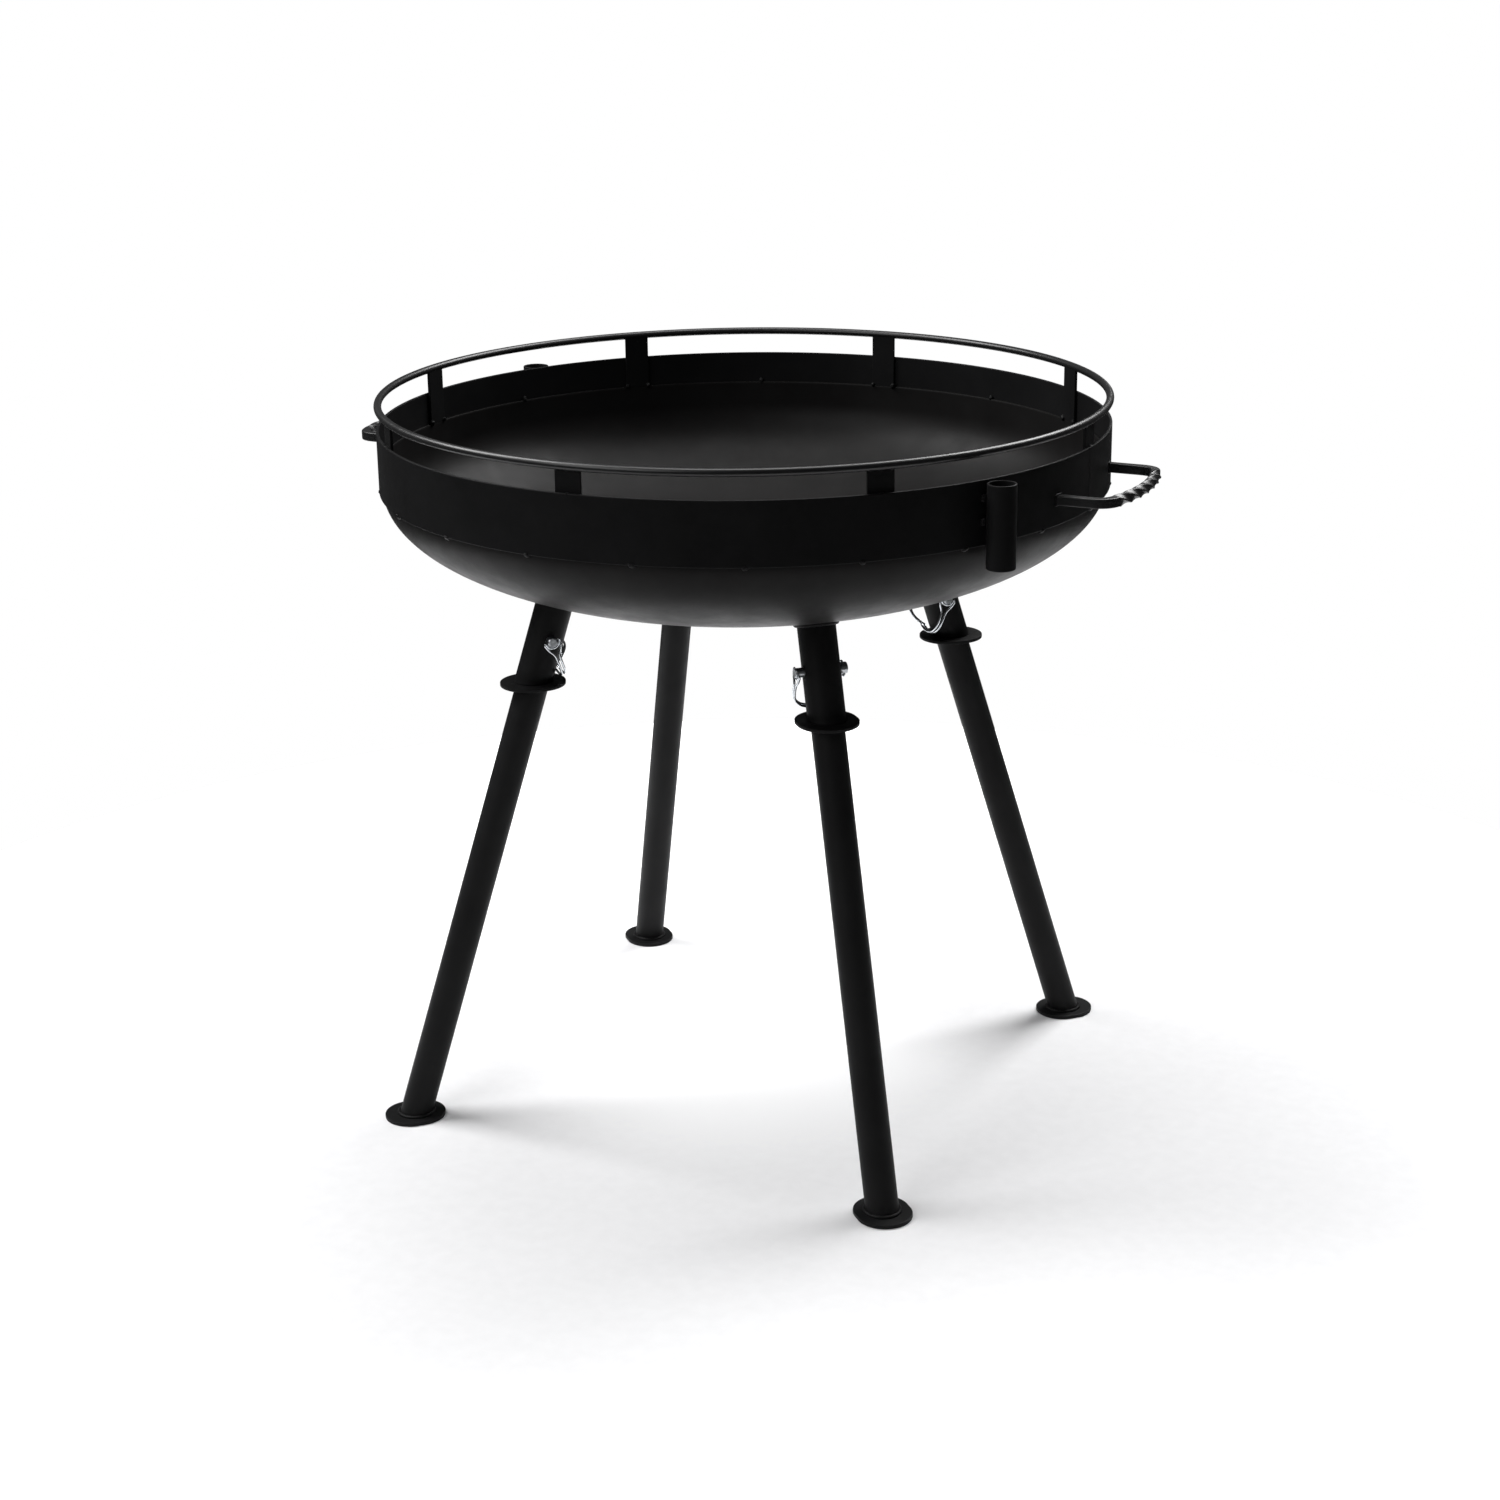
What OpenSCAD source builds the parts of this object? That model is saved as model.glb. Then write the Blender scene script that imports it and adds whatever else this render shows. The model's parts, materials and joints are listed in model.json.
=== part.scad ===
// Round fire bowl on four splayed, removable tube legs.
// Units are millimetres. Z is up and the floor is z = 0, under the middle of the bowl.
// X runs through the two lifting handles.

/* [Bowl and rim band] */
// Outer diameter of the rim band
band_d = 762; // [700:2:860]
// Thickness of the band and of the bowl's sheet
sheet = 3; // [2:0.5:5]
// Height of the band's top edge above the floor
band_top = 735; // [700:1:800]
// Height of the rim band
band_h = 63.5; // [50:0.5:90]
// How far the bowl's rim lies below the top of the band
rim_drop = 34; // [20:1:45]
// Height of the bowl's straight wall below its rim
bowl_wall = 25; // [10:1:40]
// Depth of the rounded dish below the straight wall
dish_depth = 130.5; // [90:0.5:170]

/* [Top rail] */
// Diameter of the rail's round bar
rail_d = 8; // [6:1:12]
// Height of the rail's centre above the top of the band
rail_rise = 25.5; // [18:0.5:40]
// Width of each strap
post_w = 27; // [16:1:40]

/* [Lifting handles] */
// Side of the handles' square bar
handle_bar = 9.5; // [6:0.1:12]
// Height of the handles above the floor
handle_z = 697; // [685:1:715]
// Reach of a handle's corners from the bowl's axis
handle_reach = 422; // [410:1:440]
// Half of the distance between a handle's two corners
handle_half = 78; // [60:1:95]
// Half of the distance between a handle's two roots
root_half = 78; // [50:1:90]
// How far the grip bows out between its corners
grip_bow = 13; // [4:1:25]
// Quarter turns of twist along the grip
grip_quarters = 6; // [0:1:12]

/* [Accessory sockets] */
// Outer diameter of the socket tube
acc_d = 28.6; // [20:0.2:40]
// Wall of the socket tube
acc_wall = 2; // [1:0.5:4]
// Length of the socket tube
acc_len = 82; // [50:1:120]
// Bearing of the front socket, from +X towards +Y
acc_bearing = 332.7; // [320:0.1:336]

/* [Legs] */
// Distance of each foot from the bowl's axis
foot_r = 387.7; // [350:0.1:420]
// Splay of the legs from the vertical
splay = 17.6; // [10:0.1:22]
// Outer diameter of the leg tube
leg_d = 34; // [28:0.5:40]
// Wall of the leg tube and of its socket
leg_wall = 2; // [1.5:0.1:4]
// Outer diameter of the leg socket
socket_d = 39; // [39:0.5:45]
// Height of the leg's upper end
leg_top = 555; // [540:1:560]
// Height of the stop collar's upper face
collar_top = 474.5; // [440:0.5:490]
// Thickness of the stop collar
collar_t = 3.5; // [3:0.5:6]
// Thickness of the foot plate
foot_t = 4; // [3:0.5:8]

/* [Lock pins] */
// Height of the lock pins above the floor
pin_z = 521.5; // [515:0.5:535]
// Diameter of the pin's shaft
pin_d = 10; // [8:0.5:12]
// Diameter of the pin's head
pin_head_d = 12; // [12:0.5:16]
// Diameter of the bail's wire
wire_d = 2.4; // [2:0.1:2.6]

/* [Hidden] */
$fn = 96;
band_r = band_d / 2;
band_in = band_r - sheet;
weld_gap = 0.1;
bowl_r = band_in - 0.2;
rim_z = band_top - rim_drop;
dish_z = rim_z - bowl_wall;
dish_step = 3.75;
rail_z = band_top + rail_rise;
rail_r = band_in;
post_n = 8;
post_out = band_in - 0.5;
acc_gap = 2.7;
acc_r = band_r + acc_gap + acc_d / 2;
acc_top = band_top - 1.5;
pad_w = 24;
pad_h = 8;
pad_drops = [17, 40];
leg_n = 4;
leg_first = 45;
collar_round = 31.5;
collar_shift = 3;
foot_round = 28.5;
foot_shift = 4;
socket_bore = leg_d + 0.8;
pin_r = foot_r - pin_z * tan(splay);
pin_hole = pin_d + 0.4;
pin_tip = 28.5;
pin_seat = socket_d / 2 + 0.2;
pin_head = 6.8;
pin_chamfer = 1;
hinge_x = -23.2;
hinge_hole = wire_d + 0.4;
// Which way each leg's pin points: 1 is anticlockwise round the bowl, -1 is clockwise
pin_side = [-1, 1, 1, -1];
black = "#1d1d1e";
zinc = "#c3c8cc";

// The bail's wire from the middle of its hinge to the middle of the cradle under the
// pin's tip, one strand of two: place along the pin, droop below it, half of the spread
bail_strand = [
    [-23.2, 0, 0], [-23.2, 0, 4], [-23.2, 0.6, 7], [-23.2, 4, 7.2], [-23.2, 11, 4],
    [-22.8, 19, 2], [-20, 31, 1.9], [-13, 38, 1.9], [-4, 41.2, 1.9], [7, 42, 1.9],
    [17, 39.5, 1.9], [24, 33, 1.9], [26, 25, 1.9], [26, 15, 2.6], [26, 8, 6.2],
    [26, 1.5, 8.4], [26, -0.8, 7.4], [26, 1.5, 6.5], [26, 5, 4.5], [26, 6.4, 0]
];
// Which way the bail hangs from the vertical, towards the bowl's axis: at its hinge, and
// from the second place along the pin in bail_twist_x to the tip
bail_lean = [60, 19];
bail_twist_x = [-23, -12];
bail_steps = 3;
wire_sides = 8;

function unit(v) = v / norm(v);
function mix(a, b, t) = a + (b - a) * t;
function clamp01(t) = max(0, min(1, t));
function eased(t) = t * t * (3 - 2 * t);
function last(list) = list[len(list) - 1];

// One dish curve, a quarter ellipse from the axis out to the wall, g further out all round
function dish(r, depth, g) =
    [for (t = [0:dish_step:90]) [(r + g) * sin(t), dish_z - (depth + g) * cos(t)]];

// A smooth closed curve through points, with steps new points in each span
function smooth_loop(p, steps) =
    let (n = len(p))
    [for (i = [0:n - 1], k = [0:steps - 1])
        let (t = k / steps, a = p[(i + n - 1) % n], b = p[i], c = p[(i + 1) % n], d = p[(i + 2) % n])
        (2 * b + (c - a) * t + (2 * a - 5 * b + 4 * c - d) * t * t
            + (3 * b - a - 3 * c + d) * t * t * t) / 2];

// Along the pin, droop and spread become radial, tangential and vertical
function hang(q) =
    let (t = eased(clamp01((q.x - bail_twist_x[0]) / (bail_twist_x[1] - bail_twist_x[0]))),
        lean = mix(bail_lean[0], bail_lean[1], t))
    [q.z * cos(lean) - q.y * sin(lean), q.x, -q.y * cos(lean) - q.z * sin(lean)];

function mirrored_strand() =
    [for (i = [len(bail_strand) - 2:-1:1]) [bail_strand[i].x, bail_strand[i].y, -bail_strand[i].z]];

function bail_path() =
    [for (q = smooth_loop(concat(bail_strand, mirrored_strand()), bail_steps)) hang(q)];

// Directions of travel along a path, open or closed
function headings(p, closed) =
    let (n = len(p))
    [for (i = [0:n - 1])
        unit(p[closed ? (i + 1) % n : min(i + 1, n - 1)] - p[closed ? (i + n - 1) % n : max(i - 1, 0)])];

function flatten_onto(v, t) = unit(v - (v * t) * t);

// A sideways direction carried along the path without turning about it
function carried(t, first) =
    [for (i = 0, v = flatten_onto(first, t[0]); i < len(t);
        i = i + 1, v = i < len(t) ? flatten_onto(v, t[i]) : v) v];

// A solid of one outline swept along a path. Each point of the outline is [angle, radius],
// and turns[i] turns the outline about the path at point i.
module sweep(path, outline, turns, first, closed) {
    t = headings(path, closed);
    v = carried(t, first);
    n = len(path);
    s = len(outline);
    points = [for (i = [0:n - 1], o = outline)
        path[i] + o[1] * (cos(o[0] + turns[i]) * v[i] + sin(o[0] + turns[i]) * cross(t[i], v[i]))];
    walls = [for (i = [0:closed ? n - 1 : n - 2], j = [0:s - 1], half = [0, 1])
        let (a = i * s + j, b = i * s + (j + 1) % s,
            c = ((i + 1) % n) * s + (j + 1) % s, d = ((i + 1) % n) * s + j)
        half == 0 ? [a, d, c] : [a, c, b]];
    ends = closed ? [] : [[for (j = [0:s - 1]) j], [for (j = [s - 1:-1:0]) (n - 1) * s + j]];
    polyhedron(points = points, faces = concat(walls, ends), convexity = 8);
}

module about_leg(k) {
    rotate([0, 0, leg_first + (k - 1) * 360 / leg_n]) children();
}

// Z runs up the leg's own axis, from the floor
module along_leg() {
    translate([foot_r, 0, 0]) rotate([0, -splay, 0]) children();
}

// The pin's frame: origin on the leg's axis, Y towards the pin's tip
module about_pin(k) {
    about_leg(k) translate([pin_r, 0, pin_z]) {
        if (pin_side[k - 1] < 0) mirror([0, 1, 0]) children();
        else children();
    }
}

// A cylinder along Y, from y = from to y = to
module bar_y(d, from, to) {
    translate([0, from, 0]) rotate([-90, 0, 0]) cylinder(d = d, h = to - from);
}

// A flat plate with two straight sides and round ends, longer along X
module oval_plate(x, z, t, r, shift) {
    translate([x - shift, 0, z]) cylinder(r = r, h = t);
    translate([x + shift, 0, z]) cylinder(r = r, h = t);
    translate([x - shift, -r, z]) cube([2 * shift, 2 * r, t]);
}

// Everything inside the bowl's outer surface, and g beyond it
module bowl_body(g) {
    rotate_extrude() polygon(concat(dish(bowl_r, dish_depth, g), [[bowl_r + g, rim_z], [0, rim_z]]));
}

module bowl() {
    inner = dish(bowl_r - sheet, dish_depth - sheet, 0);
    color(black) rotate_extrude() polygon(concat(
        dish(bowl_r, dish_depth, 0), [[bowl_r, rim_z], [bowl_r - sheet, rim_z]],
        [for (i = [len(inner) - 1:-1:0]) inner[i]]));
}

module rim_band() {
    color(black) translate([0, 0, band_top - band_h]) difference() {
        cylinder(r = band_r, h = band_h, $fn = 180);
        translate([0, 0, -1]) cylinder(r = band_in, h = band_h + 2, $fn = 180);
    }
}

module rail_ring(g) {
    translate([0, 0, rail_z]) rotate_extrude($fn = 180) translate([rail_r, 0]) circle(d = rail_d + 2 * g);
}

module top_rail() {
    color(black) rail_ring(0);
}

// A strap that stands on the bowl's rim inside the band and is coped to the rail
module rail_post(k) {
    color(black) difference() {
        rotate([0, 0, (k - 1) * 360 / post_n])
            translate([post_out - sheet, -post_w / 2, rim_z]) cube([sheet, post_w, rail_z - rim_z]);
        rail_ring(weld_gap);
    }
}

// Centre line of a handle: two level legs, rounded corners and a bowed grip
grip_r = (pow(handle_half, 2) + pow(grip_bow, 2)) / (2 * grip_bow);
grip_angle = asin(handle_half / grip_r);
bend = 15;
bend_steps = 6;
grip_steps = 10 * max(grip_quarters, 1);
bend_angle = bend / grip_r * 180 / PI;
function grip_point(a) = [handle_reach + grip_bow - grip_r + grip_r * cos(a), grip_r * sin(a), 0];
handle_corner = [handle_reach, -handle_half, 0];
handle_root = [band_in - 6, -root_half, 0];
bend_start = handle_corner - bend * unit(handle_corner - handle_root);
bend_end = grip_point(bend_angle - grip_angle);
near_bend = [for (i = [0:bend_steps]) let (t = i / bend_steps)
    mix(mix(bend_start, handle_corner, t), mix(handle_corner, bend_end, t), t)];
grip = [for (i = [1:grip_steps - 1]) grip_point((bend_angle - grip_angle) * (1 - 2 * i / grip_steps))];
far_bend = [for (i = [bend_steps:-1:0]) [near_bend[i].x, -near_bend[i].y, 0]];
handle_path = concat([handle_root], near_bend, grip, far_bend, [[handle_root.x, root_half, 0]]);
handle_turns = [for (i = [0:len(handle_path) - 1])
    90 * grip_quarters * clamp01((i - bend_steps - 1) / grip_steps)];
edge = 0.9;
// The square bar's outline, with small flats on its four edges
bar_outline = [for (q = [0:3], side = [-1, 1])
    let (a = atan((handle_bar / 2 - edge) / (handle_bar / 2)))
    [q * 90 + side * a, norm([handle_bar / 2, handle_bar / 2 - edge])]];

module handle(bearing) {
    color(black) rotate([0, 0, bearing]) difference() {
        translate([0, 0, handle_z]) sweep(handle_path, bar_outline, handle_turns, [0, 0, 1], false);
        translate([0, 0, handle_z - handle_bar]) cylinder(r = band_r + weld_gap, h = 2 * handle_bar, $fn = 180);
    }
}

module accessory_tube(g) {
    translate([acc_r, 0, acc_top - acc_len]) cylinder(d = acc_d + 2 * g, h = acc_len);
}

module accessory_socket(bearing) {
    color(black) rotate([0, 0, bearing]) difference() {
        accessory_tube(0);
        translate([acc_r, 0, acc_top - acc_len - 1]) cylinder(d = acc_d - 2 * acc_wall, h = acc_len + 2);
    }
}

// Two weld pads that bridge the gap between the band and the socket tube
module socket_pads(bearing) {
    color(black) rotate([0, 0, bearing]) for (drop = pad_drops) difference() {
        translate([band_r - 1, -pad_w / 2, band_top - drop - pad_h / 2])
            cube([acc_gap + acc_d / 4, pad_w, pad_h]);
        cylinder(r = band_r + weld_gap, h = band_top + pad_h, $fn = 720);
        accessory_tube(weld_gap);
    }
}

module pin_bore() {
    translate([pin_r, 0, pin_z]) bar_y(pin_hole, -socket_d, socket_d);
}

module below(z) {
    translate([foot_r - 3 * socket_d, -2 * socket_d, z - 4 * socket_d])
        cube([5 * socket_d, 4 * socket_d, 4 * socket_d]);
}

module leg_socket(k) {
    reach = dish_z / cos(splay);
    color(black) difference() {
        about_leg(k) difference() {
            along_leg() translate([0, 0, reach / 2]) cylinder(d = socket_d, h = reach / 2);
            along_leg() translate([0, 0, reach / 2 - 1]) cylinder(d = socket_bore, h = reach / 2 + 2);
            translate([-2 * socket_d, 0, 0]) below(collar_top + weld_gap);
            pin_bore();
        }
        bowl_body(weld_gap);
    }
}

module leg_tube(k) {
    reach = leg_top / cos(splay);
    color(black) about_leg(k) difference() {
        along_leg() translate([0, 0, -leg_d]) cylinder(d = leg_d, h = reach + leg_d);
        along_leg() translate([0, 0, -leg_d - 1]) cylinder(d = leg_d - 2 * leg_wall, h = reach + leg_d + 2);
        below(foot_t + weld_gap);
        pin_bore();
    }
}

module stop_collar(k) {
    middle = foot_r - (collar_top - collar_t / 2) * tan(splay);
    color(black) about_leg(k) difference() {
        oval_plate(middle, collar_top - collar_t, collar_t, collar_round, collar_shift);
        along_leg() cylinder(d = leg_d + 2 * weld_gap, h = leg_top);
    }
}

module foot_plate(k) {
    color(black) about_leg(k) oval_plate(foot_r, 0, foot_t, foot_round, foot_shift);
}

module lock_pin(k) {
    color(zinc) about_pin(k) difference() {
        union() {
            bar_y(pin_d, -pin_seat - 1, pin_tip - pin_chamfer);
            translate([0, pin_tip - pin_chamfer, 0]) rotate([-90, 0, 0])
                cylinder(d1 = pin_d, d2 = pin_d - 2 * pin_chamfer, h = pin_chamfer);
            bar_y(pin_head_d, -pin_seat - pin_head, -pin_seat);
        }
        translate([0, hinge_x, 0]) rotate([0, 90 + bail_lean[0], 0])
            cylinder(d = hinge_hole, h = 2 * pin_head_d, center = true);
    }
}

module pin_bail(k) {
    path = bail_path();
    n = len(path);
    t = headings(path, true);
    first = [0, 1, 0];
    v = carried(t, first);
    closing = flatten_onto(last(v), t[0]);
    slack = atan2(cross(v[0], closing) * t[0], v[0] * closing);
    turns = [for (i = [0:n - 1]) -slack * i / n];
    ring = [for (j = [0:wire_sides - 1]) [j * 360 / wire_sides, wire_d / 2]];
    color(zinc) about_pin(k) sweep(path, ring, turns, first, true);
}

bowl();
rim_band();
top_rail();
handle(0);  // handle_right
handle(180);  // handle_left
accessory_socket(acc_bearing);  // accessory_socket_front
accessory_socket(acc_bearing - 180);  // accessory_socket_back
socket_pads(acc_bearing);  // socket_pads_front
socket_pads(acc_bearing - 180);  // socket_pads_back
for (k = [1:post_n]) rail_post(k);
for (k = [1:leg_n]) {
    leg_socket(k);
    leg_tube(k);
    stop_collar(k);
    foot_plate(k);
    lock_pin(k);
    pin_bail(k);
}
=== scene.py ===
"""Looks of a round steel fire bowl on four removable legs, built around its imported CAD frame."""

import json
import math
import random

import bmesh
import bpy
from mathutils import Matrix, Vector, noise


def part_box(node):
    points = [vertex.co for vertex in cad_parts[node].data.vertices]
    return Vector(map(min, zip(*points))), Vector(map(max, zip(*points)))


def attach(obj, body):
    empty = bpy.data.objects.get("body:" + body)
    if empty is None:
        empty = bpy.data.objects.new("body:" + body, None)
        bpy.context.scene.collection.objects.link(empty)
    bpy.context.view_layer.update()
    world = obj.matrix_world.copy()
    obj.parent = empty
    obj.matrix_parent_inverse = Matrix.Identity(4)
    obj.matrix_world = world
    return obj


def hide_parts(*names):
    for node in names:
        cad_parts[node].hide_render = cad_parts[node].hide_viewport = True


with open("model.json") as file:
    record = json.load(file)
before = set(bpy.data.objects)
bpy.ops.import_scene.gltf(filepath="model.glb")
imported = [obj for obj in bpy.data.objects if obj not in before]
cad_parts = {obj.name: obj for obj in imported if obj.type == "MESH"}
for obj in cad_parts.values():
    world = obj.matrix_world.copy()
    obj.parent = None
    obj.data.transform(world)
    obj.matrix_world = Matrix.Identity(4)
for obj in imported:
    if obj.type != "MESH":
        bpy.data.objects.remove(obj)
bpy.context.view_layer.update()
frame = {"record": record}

MM = 0.001
UP = Vector((0, 0, 1))

# Bowl, band and rail, read from the frame
SHEET = 3 * MM
BAND_LOW, BAND_TOP = (corner.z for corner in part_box("rim_band"))
BAND_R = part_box("rim_band")[1].x
BAND_IN = BAND_R - SHEET
BOWL_LOW, RIM_Z = (corner.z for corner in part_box("bowl"))
BOWL_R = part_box("bowl")[1].x
BOWL_WALL = 25 * MM
DISH_Z = RIM_Z - BOWL_WALL
DISH_DEPTH = DISH_Z - BOWL_LOW
RAIL_LOW, RAIL_HIGH = (corner.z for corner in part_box("top_rail"))
RAIL_Z = (RAIL_LOW + RAIL_HIGH) / 2
RAIL_BAR = (RAIL_HIGH - RAIL_LOW) / 2
RAIL_R = min(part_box("top_rail")[1].xy) - RAIL_BAR
SEAM_BEARING = math.radians(358.6)
SEAM_GAP = 0.7 * MM

# Straps under the rail
POST_COUNT = 8
POST_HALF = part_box("rail_post_1")[1].y
POST_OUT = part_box("rail_post_1")[1].x
POST_IN = POST_OUT - SHEET

# Lifting handles
HANDLE_BAR = 9.5 * MM
HANDLE_Z = sum(corner.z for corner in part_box("handle_right")) / 2
HANDLE_REACH = 421.8 * MM
HANDLE_HALF = 78 * MM
HANDLE_ROOT_HALF = 78 * MM
GRIP_BOW = 13 * MM
GRIP_R = (HANDLE_HALF ** 2 + GRIP_BOW ** 2) / (2 * GRIP_BOW)
GRIP_TWIST = math.radians(6 * 90)
BEND = 15 * MM

# Accessory sockets, from the record's own mounts
ACC_D = 28.6 * MM
ACC_WALL = 2 * MM
PAD_DROPS = (17 * MM, 40 * MM)
PAD_TALL = 8 * MM
PAD_HALF = 12 * MM
MOUNTS = {mount["name"]: mount for mount in frame["record"]["mounts"]}

# Legs: the leg frame has X outwards, with the foot's middle at x = FOOT_R
LEG_COUNT = 4
LEG_FIRST = math.radians(45)
FOOT_R = Vector(MOUNTS["floor_rest"]["pos_m"]).length
SPLAY = math.radians(17.6)
LEG_D = 34 * MM
LEG_WALL = 2 * MM
SOCKET_D = 39 * MM
SOCKET_BORE = LEG_D + 0.8 * MM
LEG_TOP = 555 * MM
COLLAR_LOW, COLLAR_TOP = (corner.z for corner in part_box("stop_collar_1"))
COLLAR_ROUND = 31.5 * MM
COLLAR_SHIFT = 3 * MM
FOOT_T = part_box("foot_plate_1")[1].z
FOOT_ROUND = 28.5 * MM
FOOT_SHIFT = 4 * MM
LEG_AXIS = Vector((-math.sin(SPLAY), 0, math.cos(SPLAY)))
LEG_OUT = Vector((math.cos(SPLAY), 0, math.sin(SPLAY)))

# Lock pins and their bails: the pin frame has Y towards the pin's tip
PIN_Z = sum(corner.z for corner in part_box("lock_pin_1")) / 2
PIN_R = FOOT_R - PIN_Z * math.tan(SPLAY)
PIN_D = 10 * MM
PIN_HOLE = PIN_D + 0.4 * MM
PIN_TIP = 28.5 * MM
PIN_SEAT = SOCKET_D / 2 + 0.2 * MM
PIN_HEAD = 6.8 * MM
PIN_HEAD_D = 12 * MM
PIN_CHAMFER = 1 * MM
PIN_SIDE = (-1, 1, 1, -1)
HINGE_Y = -23.2 * MM
HINGE_HOLE = 2.8 * MM
WIRE_D = 2.4 * MM
# The wire's centre line from its hinge to the cradle under the pin's tip, one strand of
# two, in millimetres: place along the pin, droop below it, half of the spread. The cradle is
# 26 along the pin and the belly droops 42, and the points beside them are set off from those
BAIL_STRAND = (
    (-23.2, 0, 0), (-23.2, 0, 4), (-23.2, 0.6, 7), (-23.2, 4, 7.2), (-23.2, 11, 4),
    (-22.8, 19, 2), (-20, 31, 1.9), (-13, 38, 1.9), (-4, 41.2, 1.9), (7, 42, 1.9),
    (17, 39.5, 1.9), (24, 33, 1.9), (26, 25, 1.9), (26, 15, 2.6), (26, 8, 6.2),
    (26, 1.5, 8.4), (26, -0.8, 7.4), (26, 1.5, 6.5), (26, 5, 4.5), (26, 6.4, 0),
)
BAIL_LEAN = (math.radians(60), math.radians(19))
BAIL_TWIST = (-23 * MM, -12 * MM)
BAIL_STEPS = 9

# Fineness of the meshes
ROUND_STEPS = 288
TUBE_STEPS = 72
WIRE_SIDES = 16
MERGE = 1e-7
CREASE = math.radians(38)


# ---------------------------------------------------------------- mesh tools

def shade(mesh):
    """Smooth shading with hard edges where faces meet at more than CREASE."""
    for face in mesh.polygons:
        face.use_smooth = True
    mesh.set_sharp_from_angle(angle=CREASE)
    return mesh


def mesh_of(name, shells):
    """One mesh of several (points, faces) shells, with outward normals."""
    work = bmesh.new()
    for points, faces in shells:
        made = [work.verts.new(point) for point in points]
        for face in faces:
            work.faces.new([made[i] for i in face])
    bmesh.ops.remove_doubles(work, verts=work.verts, dist=MERGE)
    bmesh.ops.recalc_face_normals(work, faces=work.faces)
    mesh = bpy.data.meshes.new(name)
    work.to_mesh(mesh)
    work.free()
    return shade(mesh)


def skin(rings, loop):
    """A shell over closed rings of points, which is joined in a loop or capped at both ends."""
    count, sides = len(rings), len(rings[0])
    faces = []
    for i in range(count if loop else count - 1):
        here, there = i * sides, (i + 1) % count * sides
        for k in range(sides):
            m = (k + 1) % sides
            faces.append((here + k, there + k, there + m, here + m))
    if not loop:
        faces.append(tuple(range(sides)))
        faces.append(tuple((count - 1) * sides + k for k in range(sides)))
    return [point for ring in rings for point in ring], faces


def turned(section, steps=ROUND_STEPS):
    """A shell of a closed (radius, height) section turned about Z."""
    rings = []
    for i in range(steps):
        a = 2 * math.pi * i / steps
        rings.append([Vector((r * math.cos(a), r * math.sin(a), z)) for r, z in section])
    return skin(rings, True)


def rounded(corners, radius, steps=3):
    """A closed outline of 2D corners, each rounded off and held flat just beside the round."""
    outline = []
    count = len(corners)
    for i, corner in enumerate(corners):
        here = Vector(corner)
        back = (Vector(corners[i - 1]) - here).normalized()
        on = (Vector(corners[(i + 1) % count]) - here).normalized()
        outline.append(here + back * radius * 1.6)
        for k in range(steps + 1):
            t = k / steps
            outline.append(here + back * radius * (1 - t) ** 2 + on * radius * t ** 2)
        outline.append(here + on * radius * 1.6)
    return outline


def headings(path, closed):
    """Directions of travel at each point of a path."""
    count = len(path)
    if closed:
        return [(path[(i + 1) % count] - path[i - 1]).normalized() for i in range(count)]
    return [(path[min(i + 1, count - 1)] - path[max(i - 1, 0)]).normalized() for i in range(count)]


def carried(along, first):
    """A sideways direction carried along a path without turning about it."""
    sideways = []
    side = first
    for heading in along:
        side = (side - side.dot(heading) * heading).normalized()
        sideways.append(side)
    return sideways


def swept(path, outline, first, closed=False, turns=None, scales=None):
    """A shell of a 2D outline swept along a path, turned and scaled from point to point."""
    along = headings(path, closed)
    sideways = carried(along, first)
    count = len(path)
    slack = 0.0
    if closed:
        back = (sideways[-1] - sideways[-1].dot(along[0]) * along[0]).normalized()
        slack = math.atan2(sideways[0].cross(back).dot(along[0]), sideways[0].dot(back))
    rings = []
    for i in range(count):
        turn = (turns[i] if turns else 0.0) - slack * i / count
        scale = scales[i] if scales else 1.0
        across = along[i].cross(sideways[i])
        u = sideways[i] * math.cos(turn) + across * math.sin(turn)
        v = across * math.cos(turn) - sideways[i] * math.sin(turn)
        rings.append([path[i] + scale * (x * u + y * v) for x, y in outline])
    return skin(rings, closed)


def circle(radius, sides):
    """A closed 2D circle."""
    return [(radius * math.cos(2 * math.pi * i / sides), radius * math.sin(2 * math.pi * i / sides))
            for i in range(sides)]


def smooth_loop(points, steps):
    """A smooth closed curve through points, with steps new points in each span."""
    count = len(points)
    curve = []
    for i in range(count):
        a, b, c, d = (points[(i + k) % count] for k in (-1, 0, 1, 2))
        for k in range(steps):
            t = k / steps
            curve.append((2 * b + (c - a) * t + (2 * a - 5 * b + 4 * c - d) * t * t
                          + (3 * b - a - 3 * c + d) * t ** 3) / 2)
    return curve


def drilled(mesh, cutter):
    """The mesh with the cutter's shape taken away."""
    work = bpy.data.objects.new("work", mesh)
    tool = bpy.data.objects.new("tool", cutter)
    for obj in (work, tool):
        bpy.context.scene.collection.objects.link(obj)
    cut = work.modifiers.new("cut", "BOOLEAN")
    cut.operation = "DIFFERENCE"
    cut.solver = "EXACT"
    cut.object = tool
    solved = work.evaluated_get(bpy.context.evaluated_depsgraph_get())
    result = bpy.data.meshes.new_from_object(solved)
    bpy.data.objects.remove(work)
    bpy.data.objects.remove(tool)
    return shade(result)


def rod(start, end, radius, sides=32):
    """A plain round cutter between two points."""
    along = end - start
    first = along.orthogonal()
    return mesh_of("cutter", [swept([start, end], circle(radius, sides), first)])


def placed(mesh, name, matrix):
    """A copy of a mesh, moved, and turned right side out again if the move mirrors it."""
    copy = mesh.copy()
    copy.name = name
    copy.transform(matrix)
    if matrix.determinant() < 0:
        copy.flip_normals()
    return copy


def bearing(angle):
    return Matrix.Rotation(angle, 4, "Z")


# ---------------------------------------------------------------- welds

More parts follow.
